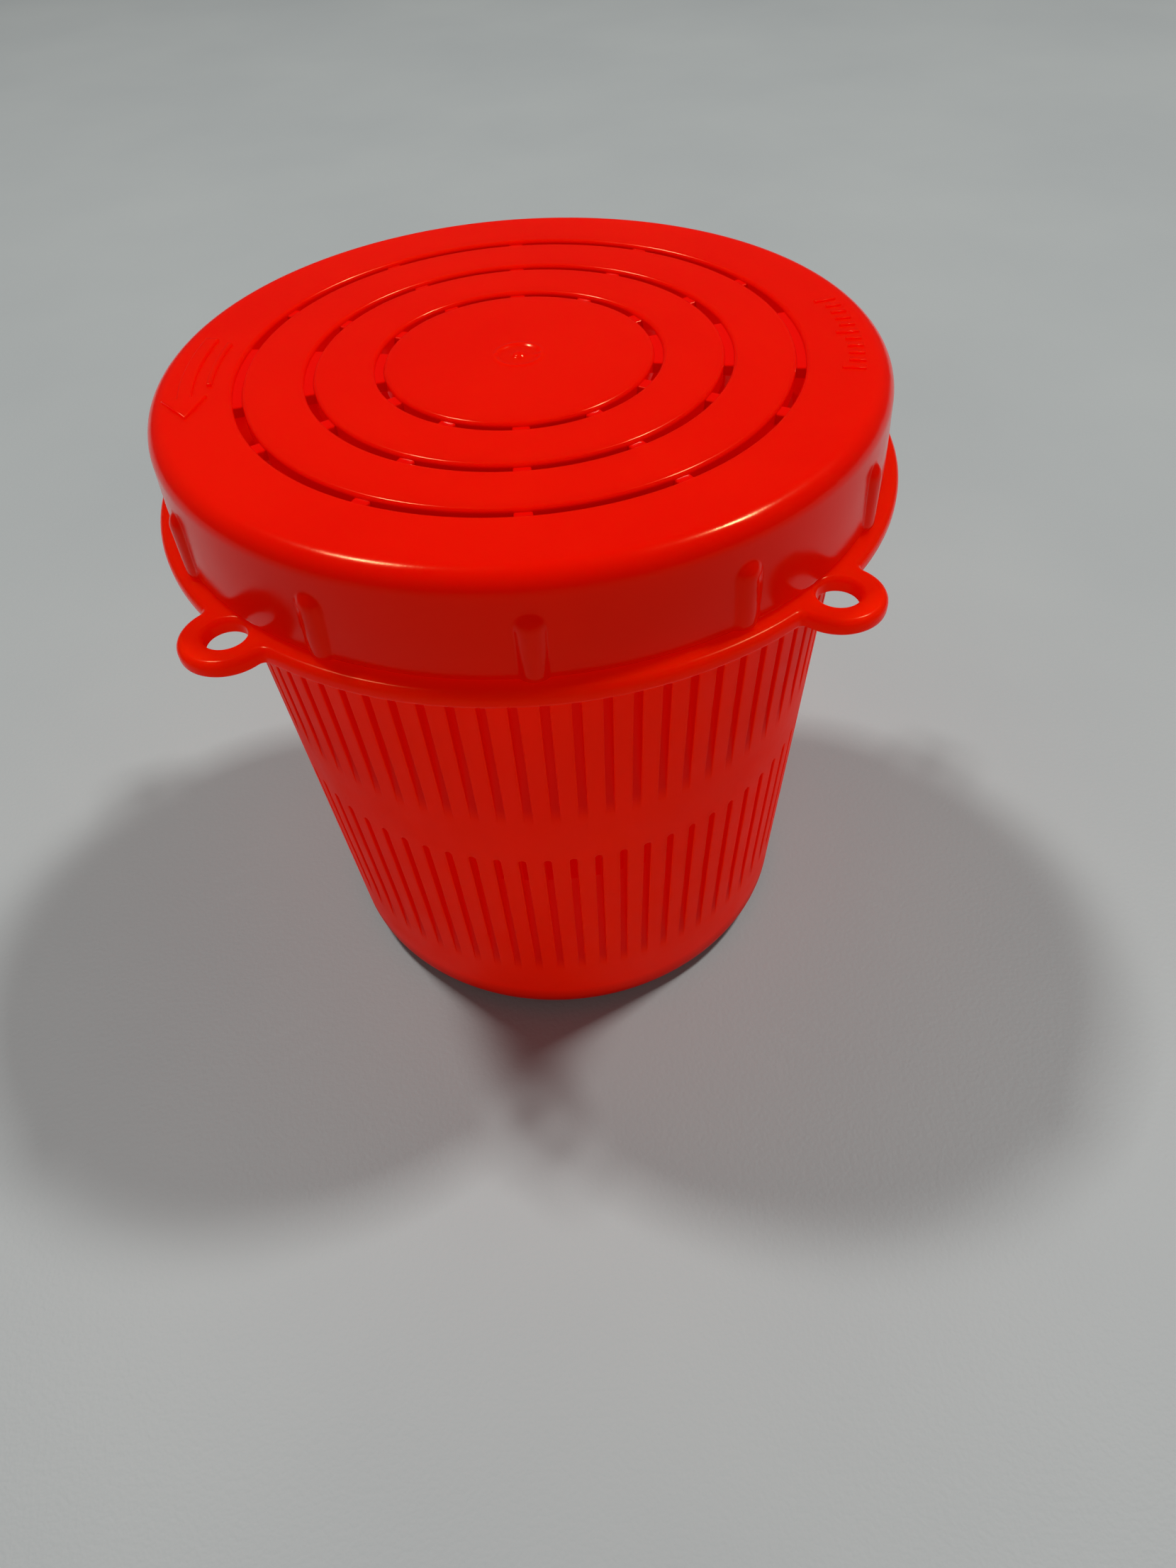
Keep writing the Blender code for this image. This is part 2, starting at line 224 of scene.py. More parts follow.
def plastic(name, colour, deep, rough, peel, gloss, painted_glow, hollows, painted_slot_shade):
    """Glossy moulded plastic: flow shading, roughness that wanders, and a fine orange peel.
    Slots get a painted shade (a deeper red base colour), the outside near the foot a darker painted shade,
    and the surface a painted red glow (emission), stronger on the inside, standing for light come through the
    wall."""
    mat = bpy.data.materials.new(name)
    mat.use_nodes = True
    mat.diffuse_color = (*colour, 1.0)
    tree = mat.node_tree
    link = tree.links.new
    sh = tree.nodes["Principled BSDF"]
    sh.inputs["IOR"].default_value = 1.49
    sh.inputs["Specular IOR Level"].default_value = gloss
    sh.inputs["Specular Tint"].default_value = (1.0, 0.50, 0.12, 1.0)
    # painted glow: the plastic gives off a faint red light of its own
    sh.inputs["Emission Strength"].default_value = 0.125
    sh.inputs["Subsurface Weight"].default_value = 1.0
    sh.inputs["Subsurface Radius"].default_value = (1.0, 0.06, 0.02)
    sh.inputs["Subsurface Scale"].default_value = 0.008
    place = tree.nodes.new("ShaderNodeTexCoord")

    flow = tree.nodes.new("ShaderNodeTexNoise")
    flow.inputs["Scale"].default_value = 34.0
    flow.inputs["Detail"].default_value = 3.0
    flow.inputs["Distortion"].default_value = 0.6
    ramp = tree.nodes.new("ShaderNodeValToRGB")
    ramp.color_ramp.elements[0].position = 0.32
    ramp.color_ramp.elements[0].color = (*deep, 1.0)
    ramp.color_ramp.elements[1].position = 0.66
    ramp.color_ramp.elements[1].color = (*colour, 1.0)
    link(place.outputs["Object"], flow.inputs["Vector"])
    link(flow.outputs["Fac"], ramp.inputs["Fac"])
    groove, inside, satin = hollows(tree, place.outputs["Object"])
    # painted shade at the foot: a darker copy of the slot colour
    painted_foot_shade = tuple(0.42 * c for c in painted_slot_shade)
    reach, height = reach_and_height(tree, place.outputs["Object"])
    # painted shade: the groove mask darkens the base colour in slots and grooves
    tone = mixed(tree, groove, ramp.outputs["Color"], painted_slot_shade)
    # painted shade near the foot: on the outside, away from the underside's middle, fading in below 7.5 mm
    outside = math_node(tree, "SUBTRACT", 1.0, inside)
    outside = math_node(tree, "MULTIPLY", outside, fade(tree, reach, 0.0388, 0.0408))
    foot = math_node(tree, "MULTIPLY", outside, fade(tree, height, 0.0075, 0.0008))
    tone = mixed(tree, foot, tone, painted_foot_shade)
    link(tone, sh.inputs["Base Color"])
    thick = math_node(
        tree, "MULTIPLY", math_node(tree, "SUBTRACT", 1.0, groove), fade(tree, height, 0.0008, 0.0075)
    )
    link(thick, sh.inputs["Subsurface Weight"])
    # painted glow: red emission outside, a quarter of it at the painted-shade foot, and a stronger one on the
    # inside standing for light come through the wall
    part = painted_glow / 0.125
    outer = (part, 0.006 * part, 0.0001 * part)
    painted_glow_colour = mixed(tree, foot, outer, tuple(0.25 * c for c in outer))
    link(mixed(tree, inside, painted_glow_colour, (1.0, 0.0006, 0.0001)), sh.inputs["Emission Color"])

    cloud = tree.nodes.new("ShaderNodeTexNoise")
    cloud.inputs["Scale"].default_value = 150.0
    cloud.inputs["Detail"].default_value = 4.0
    spread = tree.nodes.new("ShaderNodeMapRange")
    spread.inputs["From Min"].default_value = 0.3
    spread.inputs["From Max"].default_value = 0.7
    spread.inputs["To Min"].default_value = rough - 0.035
    spread.inputs["To Max"].default_value = rough + 0.05
    link(place.outputs["Object"], cloud.inputs["Vector"])
    link(cloud.outputs["Fac"], spread.inputs["Value"])
    rough_here = spread.outputs["Result"]
    if satin is not None:
        rough_here = math_node(tree, "MULTIPLY_ADD", satin, 0.30, rough_here)
    link(rough_here, sh.inputs["Roughness"])

    skin = tree.nodes.new("ShaderNodeTexNoise")
    skin.inputs["Scale"].default_value = 900.0
    skin.inputs["Detail"].default_value = 2.0
    wave = tree.nodes.new("ShaderNodeTexNoise")
    wave.inputs["Scale"].default_value = 85.0
    wave.inputs["Detail"].default_value = 1.0
    fine = tree.nodes.new("ShaderNodeBump")
    fine.inputs["Strength"].default_value = peel
    fine.inputs["Distance"].default_value = 0.00004
    sag = tree.nodes.new("ShaderNodeBump")
    sag.inputs["Strength"].default_value = 0.12
    sag.inputs["Distance"].default_value = 0.0003
    link(place.outputs["Object"], skin.inputs["Vector"])
    link(place.outputs["Object"], wave.inputs["Vector"])
    link(skin.outputs["Fac"], fine.inputs["Height"])
    link(wave.outputs["Fac"], sag.inputs["Height"])
    link(sag.outputs["Normal"], fine.inputs["Normal"])
    link(fine.outputs["Normal"], sh.inputs["Normal"])
    return mat


# plastic arguments: colour, deep, rough, peel, gloss, painted glow strength, hollows, painted slot shade colour
POT_PLASTIC = plastic(
    "pot_plastic_look", (0.84, 0.0110, 0.0001), (0.79, 0.0090, 0.0001), 0.18, 0.35, 0.085, 0.125,
    pot_hollows, (0.74, 0.0005, 0.0001),
)
LID_PLASTIC = plastic(
    "lid_plastic_look", (0.80, 0.0054, 0.0001), (0.75, 0.0042, 0.0001), 0.155, 0.30, 0.22, 0.05,
    lid_hollows, (0.74, 0.0008, 0.0001),
)

# ---- surfaces: patches of points, welded into one closed mesh ------------------------
class Shell:
    """Collects patches in millimetres, then welds them into one closed mesh."""

    def __init__(self):
        self.points, self.quads, self.tris, self.count = [], [], [], 0

    def add(self, points):
        points = np.asarray(points, float).reshape(-1, 3)
        first = self.count
        self.points.append(points)
        self.count += len(points)
        return first

    def grid(self, points, keep=None, wrap=False):
        """A grid of quads through points[row, column]; keep[row, column] drops some of them."""
        rows, columns = points.shape[:2]
        index = self.add(points) + np.arange(rows * columns).reshape(rows, columns)
        if wrap:
            index = np.concatenate([index, index[:, :1]], axis=1)
        quads = np.stack([index[:-1, :-1], index[:-1, 1:], index[1:, 1:], index[1:, :-1]], -1)
        self.quads.append(quads[keep] if keep is not None else quads.reshape(-1, 4))

    def zip(self, one, two):
        """Triangles between two closed rings that run the same way round Z."""
        one, two = np.asarray(one, float), np.asarray(two, float)
        turn = [np.unwrap(np.arctan2(ring[:, 1], ring[:, 0])) for ring in (one, two)]
        shift = np.angle(np.exp(1j * (turn[1] - turn[0][0])))
        start = int(np.argmin(np.abs(shift)))
        two = np.roll(two, -start, axis=0)
        second = np.unwrap(np.arctan2(two[:, 1], two[:, 0]))
        second += turn[0][0] + shift[start] - second[0]
        first = np.append(turn[0], turn[0][0] + 2 * math.pi)
        second = np.append(second, second[0] + 2 * math.pi)
        a, b = self.add(one), self.add(two)
        n, m, i, j = len(one), len(two), 0, 0
        made = []
        while i < n or j < m:
            if j >= m or (i < n and first[i + 1] <= second[j + 1]):
                made.append((a + i, a + (i + 1) % n, b + j % m))
                i += 1
            else:
                made.append((a + i % n, b + (j + 1) % m, b + j))
                j += 1
        self.tris.append(np.array(made))

    def fan(self, ring, centre):
        a, b = self.add(ring), self.add([centre])
        n = len(ring)
        self.tris.append(np.array([(a + i, a + (i + 1) % n, b) for i in range(n)]))

    def flat(self, loops, z):
        """Fills the plane between an outer loop and the loops inside it."""
        points, edges = [], []
        for loop in loops:
            first = len(points)
            points += [Vector((float(p[0]), float(p[1]))) for p in loop]
            edges += [(first + i, first + (i + 1) % len(loop)) for i in range(len(loop))]
        found = delaunay_2d_cdt(points, edges, [], 0, 1e-7)
        flat = np.array([tuple(p) for p in found[0]])
        tris = np.array([list(f) for f in found[2] if len(f) == 3])
        middle = flat[tris].mean(1)
        keep = np.ones(len(tris), bool)
        for number, loop in enumerate(loops):
            loop = np.asarray(loop, float)[:, :2]
            end = np.roll(loop, -1, axis=0)
            inside = np.zeros(len(tris), bool)
            for p, q in zip(loop, end):
                if p[1] == q[1]:
                    continue
                crosses = (p[1] > middle[:, 1]) != (q[1] > middle[:, 1])
                at = (q[0] - p[0]) * (middle[:, 1] - p[1]) / (q[1] - p[1]) + p[0]
                inside ^= crosses & (middle[:, 0] < at)
            keep &= inside if number == 0 else ~inside
        first = self.add(np.c_[flat, np.full(len(flat), z)])
        self.tris.append(tris[keep] + first)

    def build(self, name):
        points = np.concatenate(self.points)
        _, first, index = np.unique(
            np.round(points * 2e4).astype(np.int64), axis=0, return_index=True, return_inverse=True
        )
        index = index.reshape(-1)
        faces = []
        for group in self.quads + self.tris:
            for face in index[group].tolist():
                kept = [v for n, v in enumerate(face) if v != face[n - 1]]
                if len(set(kept)) == len(kept) >= 3:
                    faces.append(kept)
        mesh = bpy.data.meshes.new(name)
        mesh.from_pydata((points[first] * MM).tolist(), [], faces)
        work = bmesh.new()
        work.from_mesh(mesh)
        loose = [v for v in work.verts if not v.link_faces]
        bmesh.ops.delete(work, geom=loose, context="VERTS")
        bmesh.ops.remove_doubles(work, verts=work.verts, dist=4e-7)
        bmesh.ops.recalc_face_normals(work, faces=work.faces)
        work.to_mesh(mesh)
        work.free()
        return mesh


def at(radius, azimuth, z):
    """Points from a radius, an azimuth in degrees counted from -Y towards +X, and a height."""
    radius, azimuth, z = np.broadcast_arrays(
        np.asarray(radius, float), np.radians(azimuth), np.asarray(z, float)
    )
    return np.stack([radius * np.sin(azimuth), -radius * np.cos(azimuth), z], -1)


def ring(radius, z, columns, turn=0.0):
    return at(radius, turn + np.arange(columns) * 360.0 / columns, z)


def curve_arc(centre_r, centre_z, radius, start, end, pieces):
    turn = np.radians(np.linspace(start, end, pieces + 1))
    return [(centre_r + radius * math.cos(a), centre_z + radius * math.sin(a)) for a in turn]


def lathe(shell, profile, columns):
    shell.grid(
        np.stack([ring(r, z, columns) for r, z in profile]),
        wrap=True,
    )


# edge rounding in four steps: share of the width gone outwards, share of the depth gone down
ROUND = [(1 - math.sin(a), 1 - math.cos(a)) for a in np.radians([0, 30, 60, 90])]


# ---- pot ------------------------------------------------------------------------------
WALL, SLOT_EDGE = 1.95, 0.17
UPPER = {"turn": 0.92, "half": 0.675, "top": 92.9, "floor": 48.80}
LOWER = {"turn": 3.42, "half": 0.60, "top": 50.5, "floor": 45.52}
WALL_TOP, WALL_LOW = 93.7, 4.65
FLANGE_TOP, FLANGE_UNDER = 96.4, 94.0


def wall_r(z):
    return 51.22 - 0.0727 * (94.0 - np.asarray(z, float))


def z_of_depth(slot, depth):
    """Height where the slot's upright floor lies this deep under the wall's outside."""
    return 94.0 - (51.22 - slot["floor"] - depth) / 0.0727


def pot_wall(shell):
    for slot in (UPPER, LOWER):
        slot["cap"] = slot["top"] - slot["half"]
        slot["above"] = slot["top"] + SLOT_EDGE + 0.12
        slot["window"] = z_of_depth(slot, WALL)
        slot["end"] = z_of_depth(slot, 0.0)
    outer, inner = [WALL_TOP], [WALL_TOP]
    for slot in (UPPER, LOWER):
        shared = [
            slot["above"],
            slot["cap"],
            slot["cap"] * 0.66 + slot["window"] * 0.34,
            slot["cap"] * 0.33 + slot["window"] * 0.67,
            slot["window"],
        ]
        outer += shared
        outer += [z_of_depth(slot, d) for d in (1.2, 0.7, 0.36, 0.17, 0.09, 0.04, 0.0)]
        outer += [slot["end"] - 1.2]
        inner += shared
        if slot is UPPER:
            outer += [55.4]
            inner += [70.0, 58.0]
    outer += [9.0, WALL_LOW]
    inner += [25.0, 12.0, 5.2]
    outer, inner = np.array(outer), np.array(inner)

    for number, slot in enumerate((UPPER, LOWER)):
        half, edge = slot["half"], SLOT_EDGE
        radius = wall_r(outer)
        live = (outer <= slot["cap"] + 1e-9) & (outer > slot["end"] + 1e-9)
        through = live & (outer >= slot["window"] - 1e-9)
        depth = np.where(through, WALL, np.where(live, radius - slot["floor"], 0.0))
        columns = []
        for across, down in ROUND:
            columns.append((half + edge * across, np.minimum(edge, depth) * down))
        columns.append((half - 0.02, depth))
        left = [
            at(radius - d, slot["turn"] - np.degrees(np.arcsin(t / (radius - d))), outer)
            for t, d in columns
        ]
        right = [
            at(radius - d, slot["turn"] + np.degrees(np.arcsin(t / (radius - d))), outer)
            for t, d in columns
        ]
        block = np.stack(
            [at(radius, slot["turn"] - 1.25, outer)]
            + left
            + right[::-1]
            + [at(radius, slot["turn"] + 1.25, outer)],
            axis=1,
        )
        keep = np.ones((len(outer) - 1, block.shape[1] - 1), bool)
        top_row = int(np.argmin(np.abs(outer - slot["above"])))
        keep[top_row, 1:-1] = False
        for row in range(top_row + 1, len(outer) - 1):
            if through[row] and through[row + 1]:
                keep[row, 5] = False

        # the rounded head of the slot
        around = np.radians(np.linspace(180.0, 0.0, 10))
        head = []
        for (t, d) in [(half + edge * a, edge * b) for a, b in ROUND] + [(half - 0.02, WALL)]:
            across, z = t * np.cos(around), slot["cap"] + t * np.sin(around)
            r = wall_r(z) - d
            head.append(at(r, slot["turn"] + np.degrees(np.arcsin(across / r)), z))
        head = np.stack([block[top_row, 1:-1]] + head)

        # inside of the wall
        radius = wall_r(inner) - WALL
        lip = np.degrees(np.arcsin((half - 0.02) / radius))
        inside = np.stack(
            [
                at(radius, slot["turn"] - 1.25, inner),
                at(radius, slot["turn"] - lip, inner),
                at(radius, slot["turn"] + lip, inner),
                at(radius, slot["turn"] + 1.25, inner),
            ],
            axis=1,
        )
        keep_in = np.ones((len(inner) - 1, 3), bool)
        first = int(np.argmin(np.abs(inner - slot["above"])))
        keep_in[first : first + 4, 1] = False
        top = inside[first, 1:3]
        for k in range(72):
            turn = math.radians(5.0 * k)
            spin = np.array(
                [
                    [math.cos(turn), math.sin(turn), 0],
                    [-math.sin(turn), math.cos(turn), 0],
                    [0, 0, 1],
                ]
            )
            shell.grid(block @ spin, keep)
            shell.grid(head @ spin)
            shell.grid(inside @ spin, keep_in)
            a = shell.add(top @ spin)
            b = shell.add(head[-1] @ spin)
            shell.tris.append(
                np.array(
                    [(a, b + i + 1, b + i) for i in range(4)]
                    + [(a, a + 1, b + 4), (a + 1, b + 5, b + 4)]
                    + [(a + 1, b + i + 1, b + i) for i in range(5, 9)]
                )
            )

    def rim(z, less, edges):
        """The wall grid's end ring: the same points, in order round the pot."""
        points = []
        for k in range(72):
            for slot in (UPPER, LOWER):
                r = float(wall_r(z)) - less
                turn = slot["turn"] + 5.0 * k
                if edges == 2:
                    across = [slot["half"] - 0.02]
                else:
                    across = [slot["half"] + SLOT_EDGE * a for a, _ in ROUND]
                    across.append(slot["half"] - 0.02)
                angles = [turn - 1.25]
                angles += [turn - math.degrees(math.asin(t / r)) for t in across]
                angles += [turn + math.degrees(math.asin(t / r)) for t in across[::-1]]
                points += [at(r, a, z) for a in angles]
        return np.array(points)

    return rim


def ear_outline(inset):
    """The flange's outline with its four ears, moved inwards by inset."""
    flange, ear, place, blend = 58.4, 6.7, 59.1, 1.0
    a, b = flange + blend, ear + blend
    lean = math.acos((a * a + place * place - b * b) / (2 * a * place))
    points = []

    def sweep(centre, radius, start, end, pieces):
        for turn in np.linspace(start, end, pieces + 1)[:-1]:
            points.append(
                (centre[0] + radius * math.cos(turn), centre[1] + radius * math.sin(turn))
            )

    for k in range(4):
        middle = math.radians(-45.0 + 90.0 * k)
        centre = np.array([math.cos(middle), math.sin(middle)]) * place
        low = np.array([math.cos(middle - lean), math.sin(middle - lean)]) * a
        high = np.array([math.cos(middle + lean), math.sin(middle + lean)]) * a
        # blend into the ear, ear, blend out, then the flange up to the next ear
        start = math.atan2(-low[1], -low[0])
        end = math.atan2(centre[1] - low[1], centre[0] - low[0])
        end = start + (end - start + math.pi) % (2 * math.pi) - math.pi
        sweep(low, blend + inset, start, end, 7)
        start = math.atan2(low[1] - centre[1], low[0] - centre[0])
        end = math.atan2(high[1] - centre[1], high[0] - centre[0])
        end = start + (end - start) % (2 * math.pi)
        sweep(centre, ear - inset, start, end, 40)
        start = math.atan2(centre[1] - high[1], centre[0] - high[0])
        end = math.atan2(-high[1], -high[0])
        end = start + (end - start + math.pi) % (2 * math.pi) - math.pi
        sweep(high, blend + inset, start, end, 7)
        sweep((0, 0), flange - inset, middle + lean, middle + math.pi / 2 - lean, 56)
    return np.array(points)


def pot_shell():
    shell = Shell()
    rim = pot_wall(shell)

    # flange: rim, ears, holes and the two flat faces
    rows = [(1.1 * a, FLANGE_TOP - 1.1 * b) for a, b in
            [(1 - math.sin(t), 1 - math.cos(t)) for t in np.radians([0, 18, 36, 54, 72, 90])]]
    rows += [(0.0, FLANGE_UNDER + 0.9)]
    rows += [(0.5 * (1 - math.cos(t)), FLANGE_UNDER + 0.5 - 0.5 * math.sin(t))
             for t in np.radians([0, 30, 60, 90])]
    edge = [np.c_[ear_outline(d), np.full(4 * 110, z)] for d, z in rows]
    shell.grid(np.stack(edge), wrap=True)
    holes_top, holes_low = [], []
    for k in range(4):
        middle = np.radians(-45.0 + 90.0 * k)
        turn = np.linspace(0, 2 * math.pi, 48, endpoint=False)
        hole = [(3.0 + 0.9 * (1 - math.sin(t)), FLANGE_TOP - 0.9 * (1 - math.cos(t)))
                for t in np.radians([0, 22, 45, 68, 90])]
        hole += [(3.0, FLANGE_UNDER + 0.4)]
        hole += [(3.0 + 0.3 * (1 - math.cos(t)), FLANGE_UNDER + 0.3 - 0.3 * math.sin(t))
                 for t in np.radians([0, 45, 90])]
        loops = [
            np.stack(
                [
                    59.1 * math.cos(middle) + r * np.cos(turn),
                    59.1 * math.sin(middle) + r * np.sin(turn),
                    np.full(48, z),
                ],
                -1,
            )
            for r, z in hole
        ]
        shell.grid(np.stack(loops), wrap=True)
        holes_top.append(loops[0])
        holes_low.append(loops[-1])
    sides = 288
    shell.flat([edge[0], ring(51.8, FLANGE_TOP, sides)] + holes_top, FLANGE_TOP)
    root = float(wall_r(94.0))
    shell.flat([edge[-1], ring(root + 0.34, FLANGE_UNDER, sides)] + holes_low, FLANGE_UNDER)
    under = [(root + 0.34, 94.0), (root + 0.14, 93.96), (root + 0.03, 93.85)]
    lathe(shell, under, sides)
    shell.zip(rim(WALL_TOP, 0.0, 10), ring(*under[-1], sides))

    # neck with its thread, rim and inside
    neck = [(51.8, 96.4), (51.6, 96.44), (51.45, 96.55), (51.4, 96.75)]
    lathe(shell, neck, sides)
    heights = np.concatenate([np.arange(96.75, 107.2, 0.42), [107.8, 108.9]])
    turns = np.arange(sides) * 360.0 / sides
    run = np.radians((turns - 90.0) % 360.0)  # the thread starts on +X
    bump = np.zeros((len(heights), sides))
    for lap in range(2):
        angle = run + 2 * math.pi * lap
        centre = 100.0 + 4.0 * angle / (2 * math.pi)
        ends = np.clip(np.minimum(angle, 3 * math.pi - angle) / 0.35, 0, 1)
        near = np.clip(1 - np.abs(heights[:, None] - centre) / 1.15, 0, 1)
        bump = np.maximum(bump, np.minimum(1.0, 1.7 * near) ** 1.2 * ends)
    shell.grid(
        at(51.4 + 0.95 * bump, np.broadcast_to(turns, bump.shape), heights[:, None]), wrap=True
    )
    top = [(51.4, 108.9)] + curve_arc(50.9, 108.9, 0.5, 15, 90, 4)
    top += curve_arc(50.1, 108.9, 0.5, 90, 180, 5)
    top += [(49.57, 103.0), (49.5, 97.0), (49.44, 94.2)]
    lathe(shell, top, sides)
    shell.zip(ring(49.44, 94.2, sides), rim(WALL_TOP, WALL, 2))

    # foot and underside
    draft = math.degrees(math.atan(0.0727))
    foot_r = float(wall_r(5.0)) - 5.0 / math.cos(math.radians(draft))
    foot = curve_arc(foot_r, 5.0, 5.0, -draft - 3, -90, 10)
    foot += [(37.5, 0.0), (37.15, 0.03), (36.9, 0.15), (36.6, 0.5), (36.4, 0.68), (36.1, 0.78),
             (35.7, 0.8), (33.0, 0.8)]
    lathe(shell, foot, sides)
    shell.zip(rim(WALL_LOW, 0.0, 10), ring(*foot[0], sides))
    shell.zip(ring(33.0, 0.8, sides), ring(32.0, 0.8, 96))
    lathe(shell, [(32.0, 0.8), (16.0, 0.8), (4.2, 0.8), (4.0, 0.85), (3.85, 1.0), (1.2, 1.0),
                  (1.05, 0.9), (0.9, 0.62), (0.7, 0.55)], 96)
    shell.fan(ring(0.7, 0.55, 96), (0, 0, 0.55))

    # inside of the floor
    floor_z = 2.8
    corner = float(wall_r(5.2)) - WALL - 2.4
    inside = curve_arc(corner, floor_z + 2.4, 2.4, -6, -90, 8)
    lathe(shell, inside, sides)
    shell.zip(rim(5.2, WALL, 2), ring(*inside[0], sides))
    shell.zip(ring(*inside[-1], sides), ring(corner - 1.5, floor_z, 96))
    lathe(shell, [(corner - 1.5, floor_z), (20.0, floor_z), (4.0, floor_z)], 96)
    shell.fan(ring(4.0, floor_z, 96), (0, 0, floor_z))
    return shell.build("pot_shell")


# ---- lid ------------------------------------------------------------------------------
LID_TOP, LID_UNDER, LID_TURN = 112.5, 110.3, 0.3
LID_R, LID_FLARE, LID_ROUND = 55.65, 0.35, 3.2
GROOVES, GROOVE_HALF, GROOVE_EDGE, BRIDGE_DEPTH = (21.1, 31.6, 42.1), 0.72, 0.58, 0.62
BRIDGE_HALF, LAND_HALF = 1.3, 12.7
RIB_R, RIB_SECTION, RIB_TOP = 54.40, 2.5, 107.2


def lid_columns():
    """Columns of the lid: each is a blend of two (angle, offset) lines, with how the groove's
    floor stands there: 0 to 1 for the bridge and its rounded end, and 2 where it is open."""
    columns = []
    end = [(-0.30, 0.0), (-0.15, 0.045), (-0.05, 0.14), (0.0, 0.32), (0.02, 2.0)]
    for k in range(12):
        base, after = LID_TURN + 30.0 * k, LID_TURN + 30.0 * (k + 1)
        wide, next_wide = k in (3, 9), (k + 1) % 12 in (3, 9)
        for offset in (0.0, 0.35, 0.7):
            columns.append((base, offset, base, offset, 0.0, 0.0))
        rest = [1.5, 1.68, 1.82, 1.92, 2.02, 2.15, 2.4]
        for step, drop in end:
            columns.append((base, 1.3 + step, base, 1.3 + step, 0.0, 0.0 if wide else drop))
        for offset in rest:
            columns.append((base, offset, base, offset, 0.0, 0.0 if wide else 2.0))
        stops = [(base, 2.4, 0.0 if wide else 2.0)]
        if wide:
            stops.append((base + LAND_HALF, -0.55, 0.0))
            for s in np.linspace(0, 1, 7)[1:-1]:
                columns.append((base, 2.4, base + LAND_HALF, -0.55, s, 0.0))
            columns.append((base + LAND_HALF, -0.55, base + LAND_HALF, -0.55, 0.0, 0.0))
            for step, drop in end:
                columns.append((base + LAND_HALF, step, base + LAND_HALF, step, 0.0, drop))
            columns.append((base + LAND_HALF, 0.3, base + LAND_HALF, 0.3, 0.0, 2.0))
            stops = [(base + LAND_HALF, 0.3, 2.0)]
        a, a_off, _ = stops[0]
        if next_wide:
            b, b_off = after - LAND_HALF, -0.3
        else:
            b, b_off = after, -2.4
        count = 16 if not (wide or next_wide) else 8
        for s in np.linspace(0, 1, count + 1)[1:-1]:
            columns.append((a, a_off, b, b_off, s, 2.0))
        if next_wide:
            columns.append((b, -0.3, b, -0.3, 0.0, 2.0))
            for step, drop in end[::-1]:
                columns.append((b, -step, b, -step, 0.0, drop))
            columns.append((b, 0.55, b, 0.55, 0.0, 0.0))
            for s in np.linspace(0, 1, 7)[1:-1]:
                columns.append((b, 0.55, after, -2.4, s, 0.0))
        for offset in rest[::-1]:
            columns.append((after, -offset, after, -offset, 0.0, 0.0 if next_wide else 2.0))
        for step, drop in end[::-1]:
            columns.append(
                (after, -1.3 - step, after, -1.3 - step, 0.0, 0.0 if next_wide else drop)
            )
        for offset in (0.7, 0.35):
            columns.append((after, -offset, after, -offset, 0.0, 0.0))
    return np.array(columns)


